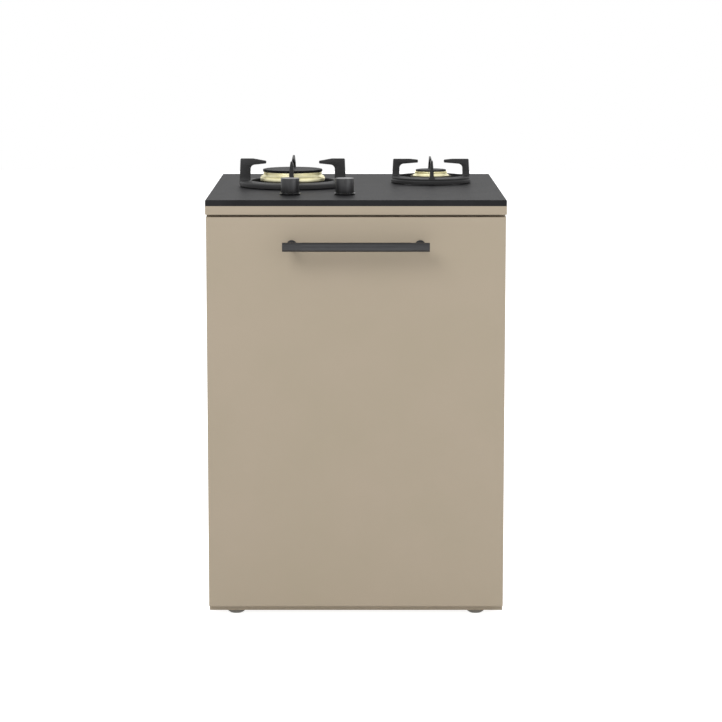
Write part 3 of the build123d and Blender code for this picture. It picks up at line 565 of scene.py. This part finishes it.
# The slots go into the faces of the ring's outer wall, which stand upright, lie outside this radius with
# their middles above this height, and are larger than the strips of the rounded rims
WALL_UPRIGHT = 0.99  # level share of a face's normal
WALL_RADIUS = 58
WALL_MIDDLE = 28.6
WALL_FACE_AREA = 3e-6  # in square metres

SMALL_CROWN = [
    (29.3, 13.5, 0.3), (39, 13.5, 0.3), (39.4, 16.2, 0.4), (36.2, 18, 1), (34.2, 21.2, 0.5),
    (31.6, 21.4, 0.3), (31.6, 27, 0.2), (29.3, 27, 0.3),
]
SMALL_RIM = [
    (38.2, 12.5, 0.2), (44.2, 12.5, 0.3), (44.5, 14.2, 0.3), (43.6, 15, 0.5), (40.5, 16, 0.4),
    (38.2, 16, 0.2),
]
TOOTH = (3.4, 1.5, 5)
TOOTH_ROUNDING = 0.35
TOOTH_RADIUS = 33
TOOTH_MIDDLE = 22.3
TOOTH_COUNT = 64


def takes_slots(face):
    """Whether a face is one of those of the wok crown's outer wall."""
    centre = face.calc_center_median()
    upright = face.normal.xy.length > WALL_UPRIGHT
    outside = centre.xy.length > WALL_RADIUS * MM
    return upright and outside and centre.z > WALL_MIDDLE * MM and face.calc_area() > WALL_FACE_AREA


def bearing(face):
    """The direction that a face lies in, seen from above."""
    centre = face.calc_center_median()
    return atan2(centre.y, centre.x)


def wok_crown():
    """The wide crown: a slanted collar under a ring of fine flame slots."""
    mesh = turned(WOK_CROWN, turns=2 * SLOT_COUNT, steps=2)
    wall = sorted([face for face in mesh.faces if takes_slots(face)], key=bearing)
    bmesh.ops.inset_individual(mesh, faces=wall[::2], thickness=0, depth=-SLOT_DEPTH * MM)
    return mesh


def small_crown():
    """The small crown: a thin skirt and a drum with a row of upright teeth round it."""
    teeth = [turn(shift(block(TOOTH, TOOTH_ROUNDING), TOOTH_RADIUS, 0, TOOTH_MIDDLE), 360 * k / TOOTH_COUNT)
             for k in range(TOOTH_COUNT)]
    return joined([turned(SMALL_CROWN, turns=TOOTH_COUNT * 2)] + teeth)


# Caps, cups and electrodes

CAP = {
    "wok": [(0, 33.7, 0), (61.8, 33.7, 0.2), (61.9, 31.7, 0.2), (62.8, 31.7, 0.3), (62.8, 36.3, 0.9),
            (60, 36.9, 2), (54, 36.3, 2), (0, 36.2, 0)],
    "small": [(0, 27, 0), (31.7, 27, 0.1), (31.8, 25.2, 0.2), (32.5, 25.2, 0.2), (32.5, 28.1, 0.5),
              (30, 28.5, 1), (0, 28.5, 0)],
}
CUP = {
    # The casting under each crown, from its throat out to its waist and back over its neck
    "wok": [(9, -62, 0.5), (29, -62, 0.5), (30, -60.5, 0.5), (30, 0, 0), (60.5, 0, 0.4), (61.5, 2.2, 1),
            (58.6, 4.2, 1.5), (58.6, 8, 2), (63, 11, 1), (63, 13.6, 0.5), (9, 13.6, 0.5)],
    "small": [(6, -62, 0.5), (21, -62, 0.5), (22, -60.5, 0.5), (22, 0, 0), (38.5, 0, 0.4), (39.2, 2, 0.8),
              (36.8, 4, 1.5), (36.8, 7.5, 2), (40, 10, 1), (40, 12.5, 0.5), (6, 12.5, 0.5)],
}
NECK_RADIUS = {"wok": 30, "small": 22}

# The lug of each cup, from its neck out, that holds the electrode and the thermocouple
LUG_REACH = {"wok": 77.8, "small": 54}
LUG_WIDTH = 12
LUG_THICKNESS = 2.5
LUG_ROUNDING = 0.7
ELECTRODE_ANGLE = 125
ELECTRODE_RADIUS = {"wok": 71.8, "small": 48}
ELECTRODE_TOP = {"wok": 27, "small": 22}
PROBE_ASIDE = 4.2  # of the electrode


def burner_cups():
    """The casting of each burner, with its lug."""
    cups = []
    for burner in BURNERS:
        inner, outer = NECK_RADIUS[burner], LUG_REACH[burner]
        lug = block((outer - inner, LUG_WIDTH, LUG_THICKNESS), LUG_ROUNDING)
        turn(shift(lug, (inner + outer) / 2, 0, LUG_THICKNESS / 2), ELECTRODE_ANGLE)
        cups.append(put(joined([turned(CUP[burner]), lug]), BURNER_AT[burner]))
    piece("burner_cups", joined(cups), "cabinet", "burner_casting", ["burner_bodies"])


def electrodes():
    """A glazed sleeve with a steel tip beside each crown, and a thermocouple next to it."""
    sleeves, tips = [], []
    for burner in BURNERS:
        low, top = LUG_THICKNESS, ELECTRODE_TOP[burner]
        sleeve = [(0, low, 0), (2.2, low, 0.3), (2.2, 6, 0.3), (1.7, 7, 0.4), (1.7, top - 5.5, 0.6),
                  (0, top - 5, 0)]
        wire = [(0, top - 6, 0), (0.6, top - 6, 0), (0.6, top - 0.6, 0.3), (0, top, 0)]
        probe = [(0, low, 0), (1.6, low, 0.3), (1.6, top - 9, 0.4), (1.1, top - 8, 0.3), (1.1, top - 1, 0.8),
                 (0, top, 0)]
        for made, outline, aside in ((sleeves, sleeve, 0), (tips, wire, 0), (tips, probe, PROBE_ASIDE)):
            pin = shift(turned(outline, 16, 2), ELECTRODE_RADIUS[burner], aside)
            made.append(put(turn(pin, ELECTRODE_ANGLE), BURNER_AT[burner]))
    piece("electrode_sleeves", joined(sleeves), "cabinet", "white_ceramic", ["spark_electrodes"])
    piece("electrode_tips_and_probes", joined(tips), "cabinet", "stainless_steel")


# Cast pan supports

SUPPORT = {
    # Outlines of the turned ring and of a finger from the side, half the finger's width at three heights,
    # the height where the finger leaves the ring, and the radius, side and height of the rubber pads
    "wok": {
        "ring": [(88, 2.2, 0.8), (91, 2.2, 0.5), (92.5, 4.2, 0.6), (107.5, 4.2, 0.6), (109, 1.4, 0.5),
                 (112, 1.4, 0.8), (112, 11.2, 4), (88, 13.8, 2)],
        "finger": [(89.1, 5.2, 0), (112.6, 5.2, 0), (110.4, 58.8, 2.6), (83.1, 58.8, 14), (56.4, 53.9, 1.6),
                   (55.5, 51, 0.8), (56.4, 48.2, 1.2), (89.1, 44.8, 9)],
        "half_widths": [(58.8, 2), (43.8, 4.1), (16.7, 5.2)],
        "ring_top": 12.2, "pads": (100, 14, 4.2),
    },
    "small": {
        "ring": [(69, 4, 0.6), (70.5, 4, 0.4), (71.3, 5.5, 0.4), (82.7, 5.5, 0.4), (83.5, 1.4, 0.5),
                 (85.5, 1.4, 0.6), (85.5, 7.6, 1.4), (83.7, 9.4, 0.8), (84.3, 12.9, 1), (69, 16.3, 1.6)],
        "finger": [(67.8, 6.5, 0), (83.7, 6.5, 0), (81.2, 51.2, 2.2), (45.5, 51.2, 12), (28.5, 49.4, 1.6),
                   (27.6, 46.2, 0.8), (28.5, 43.1, 1.2), (67.8, 39.9, 9)],
        "half_widths": [(51.2, 1.9), (36.2, 3.1), (17.5, 4.3)],
        "ring_top": 14.2, "pads": (77, 10, 5.5),
    },
}
FINGER_FLARE = 5  # radius of the fillet where a finger goes into its ring
FINGER_CUTS = (0.6, 1.4, 2.4, 3.6, 5, 12, 20, 26, 33)  # above the ring, where its width is set
FINGER_CORNER = 60  # degrees, at least, of the edges that are rounded
CAST_ROUNDING = 0.8


def finger_half_width(height, sizes):
    """Half of a finger's width at a height: it tapers up and flares down to the ring."""
    top, waist, foot = sizes["half_widths"]
    dip = min(max(sizes["ring_top"] + FINGER_FLARE - height, 0), FINGER_FLARE)
    flare = FINGER_FLARE - sqrt(FINGER_FLARE ** 2 - dip ** 2)
    above, below = (top, waist) if height > waist[0] else (waist, foot)
    share = max((height - below[0]) / (above[0] - below[0]), 0)
    return below[1] + (above[1] - below[1]) * share + flare


def finger(sizes):
    """One finger along +X: its side outline, made as thick as it is at each height, with soft edges."""
    mesh = bmesh.new()
    mesh.faces.new([mesh.verts.new((x, 0, z)) for x, z in rounded(sizes["finger"])])
    for cut in FINGER_CUTS:
        cut_level(mesh, (sizes["ring_top"] + cut) * MM)
    made = bmesh.ops.extrude_face_region(mesh, geom=mesh.faces[:])
    far = {item for item in made["geom"] if isinstance(item, bmesh.types.BMVert)}
    for vert in mesh.verts:
        half = finger_half_width(vert.co.z / MM, sizes) * MM
        vert.co.y = half if vert in far else -half
    bmesh.ops.recalc_face_normals(mesh, faces=mesh.faces)
    return round_edges(mesh, corner_edges(mesh, FINGER_CORNER), CAST_ROUNDING)


def pan_support(burner):
    """A cast ring with four hooked fingers, on four rubber pads."""
    sizes = SUPPORT[burner]
    fingers = [turn(finger(sizes), 90 * k) for k in range(4)]
    mesh = combined([turned(sizes["ring"], turns=128)] + fingers, "UNION")
    piece(f"{burner}_cast_support", mesh, f"{burner}_pan_support", "cast_iron", [f"{burner}_pan_support"],
          BURNER_AT[burner])
    radius, side, height = sizes["pads"]
    pads = [turn(shift(block((side, side, height), CAST_ROUNDING), radius, 0, height / 2), 90 * k)
            for k in range(4)]
    piece(f"{burner}_rubber_pads", joined(pads), f"{burner}_pan_support", "black_rubber",
          [f"{burner}_support_pads"], BURNER_AT[burner])


# Knobs and their collars

KNOB_RADIUS = 18.9
KNOB_TOP = 34
KNOB_OUTLINE = [
    (0, KNOB_TOP, 0), (KNOB_RADIUS, KNOB_TOP, 0.9), (KNOB_RADIUS, 5, 0.4), (16.8, 5, 0.3), (16.8, 9, 0.3),
    (5.5, 9, 0.3), (5.5, 5, 0.3), (0, 5, 0),
]
GROOVE = (1.2, 7.4, 1.2)  # half of its height is sunk
GROOVE_INSET = 3.5  # from the knob's front edge to its middle
GROOVE_ROUNDING = 0.15
COLLAR_OUTLINE = [
    (7.2, 0, 0), (20.4, 0, 0), (21.4, 2.9, 0.2), (21.4, 3.5, 0.2), (19.3, 3.5, 0.2), (19.3, 0.4, 0.2),
    (7.2, 0.4, 0.1),
]


def knob(burner):
    """A turned knob, hollow below, with a pointer groove from its front edge."""
    groove = shift(block(GROOVE, GROOVE_ROUNDING), 0, GROOVE_INSET - KNOB_RADIUS, KNOB_TOP)
    mesh = combined([turned(KNOB_OUTLINE), groove], "DIFFERENCE")
    piece(f"{burner}_turned_knob", mesh, f"{burner}_knob", "anthracite", [f"{burner}_knob"], KNOB_AT[burner])


def collars():
    """A collar round the foot of each knob, into which it sinks when it is pushed."""
    rings = [put(turned(COLLAR_OUTLINE), KNOB_AT[burner]) for burner in BURNERS]
    piece("knob_collars", joined(rings), "cabinet", "anthracite", ["tap_bezels"], material=COLLAR_FINISH)


# Front

FRONT_LIFT = 2.4  # of the folded lower edge
FRONT_FOLD = 2.8  # radius of that edge
FRONT_EDGE = 1.5  # and of the other three
OPEN_BACK = 20  # that the hollow reaches out behind the front


def folded_front():
    """The folded front, open at the back, whose lower edge turns under in a wider radius."""
    low, high = (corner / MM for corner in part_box("front_panel"))
    low.z += FRONT_LIFT
    size, centre = high - low, (low + high) / 2
    mesh = box_mesh(size)
    under = [edge for edge in mesh.edges if all(vert.co.y < 0 and vert.co.z < 0 for vert in edge.verts)]
    round_edges(mesh, under, FRONT_FOLD, 5)
    # The other three edges of the face, whose ends lie no further back than the fold
    slack = 0.1
    fold_back = (FRONT_FOLD + slack - size.y / 2) * MM
    rest = [edge for edge in corner_edges(mesh, 60) if all(vert.co.y < fold_back for vert in edge.verts)]
    round_edges(mesh, rest, FRONT_EDGE, 3)
    deep = size.y + OPEN_BACK
    hollow = block((size.x - 2 * SHEET, deep, size.z - 2 * SHEET), FRONT_FOLD - SHEET)
    shift(hollow, 0, SHEET + (deep - size.y) / 2, 0)
    piece("folded_front", combined([mesh, hollow], "DIFFERENCE"), "pull_out", "cabinet_paint",
          ["front_panel"], centre * MM)


# Handle

HANDLE_LENGTH = 292
HANDLE_HEIGHT = 760  # above the floor
HANDLE_STAND_OFF = 38  # from the front to the bar's middle
HANDLE_AT = Vector((0, FRONT_Y - HANDLE_STAND_OFF * MM, HANDLE_HEIGHT * MM))
GRIP_RADIUS = 9.25
GRIP_SIDES = 96
GRIP_ROUNDING = 0.8
GRIP_SMOOTH_BELOW = 9  # so that the low edges of the flats stay sharp
FLAT_COUNT = 8
FLAT_RADIUS = 8.8  # to the middle of a flat
FLAT_START = 106  # where a flat begins to cut in, from the middle of the bar
FLAT_RUN = 10  # and how far it takes to reach its depth
FLAT_CUTS = 6  # in which it does so
POST_X = 128
POST_OUTLINE = [
    # A rosette against the front, and a post whose end goes into the bar
    (0, 0, 0), (10.5, 0, 0), (10.5, 3.5, 1), (6.6, 3.5, 0.8), (5.5, 5, 1), (5.5, 29.4, 0), (0, 29.4, 0),
]


def mill_flats(mesh):
    """Draws the two ends of a round bar along Z in to flats, each of which runs out in a curve."""
    runs = [FLAT_START + FLAT_RUN * k / FLAT_CUTS for k in range(FLAT_CUTS + 1)]
    for place in runs + [-run for run in runs]:
        cut_level(mesh, place * MM)
    apart = 2 * pi / FLAT_COUNT
    for vert in mesh.verts:
        along = min(max((abs(vert.co.z) / MM - FLAT_START) / FLAT_RUN, 0), 1)
        depth = (GRIP_RADIUS - FLAT_RADIUS) * sqrt(1 - (1 - along) ** 2)
        off_flat = (atan2(vert.co.y, vert.co.x) + apart / 2) % apart - apart / 2
        radius = min(GRIP_RADIUS, (GRIP_RADIUS - depth) / cos(off_flat))
        vert.co.xy = vert.co.xy.normalized() * radius * MM


def handle():
    """A round bar with eight flats milled on each end, on two posts with rosettes."""
    mesh = bmesh.new()
    bmesh.ops.create_cone(mesh, cap_ends=True, segments=GRIP_SIDES, radius1=GRIP_RADIUS * MM,
                          radius2=GRIP_RADIUS * MM, depth=HANDLE_LENGTH * MM)
    mill_flats(mesh)
    near_end = (HANDLE_LENGTH / 2 - 0.1) * MM
    round_edges(mesh, [edge for edge in corner_edges(mesh) if abs(edge.verts[0].co.z) > near_end],
                GRIP_ROUNDING)
    piece("handle_grip", turn(mesh, 90, "Y"), "pull_out", "gunmetal", ["handle_bar"], HANDLE_AT,
          sharp=GRIP_SMOOTH_BELOW)
    posts = [shift(turn(turned(POST_OUTLINE, 48), 90, "X"), x) for x in (-POST_X, POST_X)]
    piece("handle_posts_and_rosettes", joined(posts), "pull_out", "gunmetal", ["handle_posts"],
          Vector((0, FRONT_Y, HANDLE_AT.z)))


# Feet. Heights are above the floor.

FOOT_OUTLINE = [
    (0, 0.5, 0), (9, 0.5, 0.2), (10, 0, 0.3), (13, 0, 0.8), (17.4, 3.2, 2), (17.7, 7.6, 1.2), (10.5, 9.4, 1),
    (0, 10, 0),
]
LEG_SIDE = 15
LEG_LOW, LEG_TOP = 9.6, 54
LEG_ROUNDING = 0.8


def foot(name):
    """A turned base on the floor, under the square leg that slides in its sleeve."""
    leg = block((LEG_SIDE, LEG_SIDE, LEG_TOP - LEG_LOW), LEG_ROUNDING)
    shift(leg, z=(LEG_LOW + LEG_TOP) / 2)
    piece(f"{name}_base_and_leg", joined([turned(FOOT_OUTLINE, 48), leg]), name, "stainless_steel", [name],
          middle(name, 0))


# Gas line

RAIL_HALF_HEIGHT = 7
RAIL_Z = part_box("gas_rail")[0].z + RAIL_HALF_HEIGHT * MM
PIPE_RADIUS = 4
TAP_OUTLET = 22  # from the knob's axis to the pipe
UNION_FLATS, UNION_LENGTH = 14, 11

# The inlet: a stub with a thread, turned as rings, behind a nut against the back panel
STUB_LENGTH = 20
THREAD_CREST, THREAD_ROOT = 10.48, 9.4
THREAD_PITCH = 1.81
THREAD_RINGS = 9
THREAD_START = 2.2  # from the nut
INLET_NUT_FLATS, INLET_NUT_LENGTH = 22.5, 10
INLET_NUT_ROUNDING = 0.8


def feed_pipe(burner):
    """A drawn pipe with a union nut at each end."""
    start, end = KNOB_AT[burner], BURNER_AT[burner]
    way = end - start
    length = way.length / MM - NECK_RADIUS[burner] - TAP_OUTLET
    pipe = turned([(0, 0, 0), (PIPE_RADIUS, 0, 0), (PIPE_RADIUS, length, 0), (0, length, 0)], 32)
    nuts = [shift(hexagon(UNION_FLATS, 0, UNION_LENGTH), z=z) for z in (0, length - UNION_LENGTH)]
    mesh = turn(joined([pipe] + nuts), 90, "Y")
    turn(shift(mesh, TAP_OUTLET), degrees(atan2(way.y, way.x)))
    piece(f"{burner}_feed_pipe", mesh, "cabinet", "pipe_aluminium", [f"{burner}_gas_pipe"],
          Vector((start.x, start.y, RAIL_Z)))


def gas_inlet():
    """The supply pipe and its bulkhead fitting, with a threaded stub for the hose."""
    low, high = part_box("gas_inlet")
    end = (high.y - low.y) / MM
    face = end - STUB_LENGTH
    outline = [(0, 0, 0), (6, 0, 0), (6, face - 10.4, 0.6), (9, face - 10.2, 0.3), (9, face, 0)]
    for k in range(THREAD_RINGS):
        start = face + THREAD_START + k * THREAD_PITCH
        outline += [(THREAD_ROOT, start, 0), (THREAD_CREST, start + THREAD_PITCH / 2, 0)]
    outline += [(THREAD_ROOT, end - 1, 0), (8.6, end, 0.3), (4.5, end, 0.3), (4.5, face, 0), (0, face, 0)]
    nut = hexagon(INLET_NUT_FLATS, face - INLET_NUT_LENGTH, face, INLET_NUT_ROUNDING)
    mesh = turn(joined([turned(outline, 48, 2), nut]), -90, "X")
    piece("threaded_gas_inlet", mesh, "cabinet", "tap_brass", ["gas_inlet"],
          Vector(((low.x + high.x) / 2, low.y, (low.z + high.z) / 2)))


# Fasteners

RIVET = [(0, 0.9, 0), (0.9, 0.9, 0), (1.1, 1.4, 0.2), (2, 1.4, 0.4), (3.4, 0.4, 0.3), (3.4, 0, 0), (0, 0, 0)]
BACK_RIVET_ROWS = (0.06, 0.28, 0.5, 0.72, 0.94)  # shares of the back panel's height
BACK_RIVET_INSET = 18  # from its rear
GUSSET_RIVET_X = 249.5
GUSSET_RIVET_DEPTH = 23  # behind the front's face, on the gusset's flange
GUSSET_RIVET_TOP = 20  # below the gusset's top
GUSSET_RIVET_PITCH = 95
SCREW_DEPTH = 20  # behind the front's face, on the liner
SCREW_FLATS, SCREW_HEIGHT = 10, 4
NUT_REACH = {"wok": 38, "small": 30}  # each way from the burner's middle
NUT_FLATS, NUT_HEIGHT = 8, 4


def rivet(angle, axis):
    """A domed rivet head whose axis is turned from the vertical."""
    return turn(turned(RIVET, 16, 2), angle, axis)


def at_places(make, places):
    """Copies of a small mesh, each moved to a place in metres."""
    return joined([put(make(), place) for place in places])


def fasteners():
    """Rivets on the back panel's folds and the gussets, the handle's screws and the retainers' nuts."""
    low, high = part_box("back_panel")
    rows = [low.z + (high.z - low.z) * share for share in BACK_RIVET_ROWS]
    folds = []
    for side, fold in ((1, low.x), (-1, high.x)):
        places = [(fold + side * SHEET * MM, high.y - BACK_RIVET_INSET * MM, z) for z in rows]
        folds.append(at_places(lambda: rivet(90 * side, "Y"), places))
    piece("back_panel_rivets", joined(folds), "cabinet", "zinc_steel")

    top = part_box("tray_gussets")[1].z
    rows = [top - GUSSET_RIVET_TOP * MM - k * GUSSET_RIVET_PITCH * MM for k in range(4)]
    flange_y = FRONT_Y + GUSSET_RIVET_DEPTH * MM
    places = [(side * GUSSET_RIVET_X * MM, flange_y, z) for side in (-1, 1) for z in rows]
    piece("gusset_rivets", at_places(lambda: rivet(-90, "X"), places), "pull_out", "zinc_steel")

    places = [(side * POST_X * MM, FRONT_Y + SCREW_DEPTH * MM, HANDLE_AT.z) for side in (-1, 1)]
    heads = at_places(lambda: turn(hexagon(SCREW_FLATS, 0, SCREW_HEIGHT), -90, "X"), places)
    piece("handle_screw_heads", heads, "pull_out", "zinc_steel")

    places = []
    plate_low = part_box("burner_retainers")[0].z
    for burner, reach in NUT_REACH.items():
        for across, along in ((-1, -1), (-1, 1), (1, -1), (1, 1)):
            spot = BURNER_AT[burner] + Vector((across, along, 0)) * reach * MM
            places.append((spot.x, spot.y, plate_low))
    nuts = at_places(lambda: hexagon(NUT_FLATS, -NUT_HEIGHT, 0), places)
    piece("retainer_nuts", nuts, "cabinet", "zinc_steel")


# The wok crown's slots are shaded sharp at a lower angle than the rest
piece("wok_brass_crown", wok_crown(), "wok_crown", "brass", ["wok_crown"], BURNER_AT["wok"], sharp=25)
piece("small_brass_crown", small_crown(), "small_crown", "brass", ["small_crown"], BURNER_AT["small"])
# The small crown's rim takes a dull olive brown brass, which is painted shade
piece("small_crown_rim", turned(SMALL_RIM), "small_crown", "brass", at=BURNER_AT["small"],
      material=RIM_FINISH)
for burner in BURNERS:
    piece(f"{burner}_enamelled_cap", turned(CAP[burner]), f"{burner}_cap", "black_enamel", [f"{burner}_cap"],
          BURNER_AT[burner])
    pan_support(burner)
    knob(burner)
    feed_pipe(burner)
burner_cups()
electrodes()
collars()
folded_front()
handle()
for row in ("front", "rear"):
    for side in ("left", "right"):
        foot(f"foot_{row}_{side}")
gas_inlet()
fasteners()


def finish_frame():
    """Gives each CAD node the finish of its slot."""
    for entry in frame["record"]["subparts"]:
        mesh = frame["nodes"][entry["node"]].data
        mesh.materials.clear()
        mesh.materials.append(MATERIALS[entry["material_slot"]])


finish_frame()
set_floor()
set_light()
set_camera()
bpy.context.scene.view_settings.view_transform = "Standard"
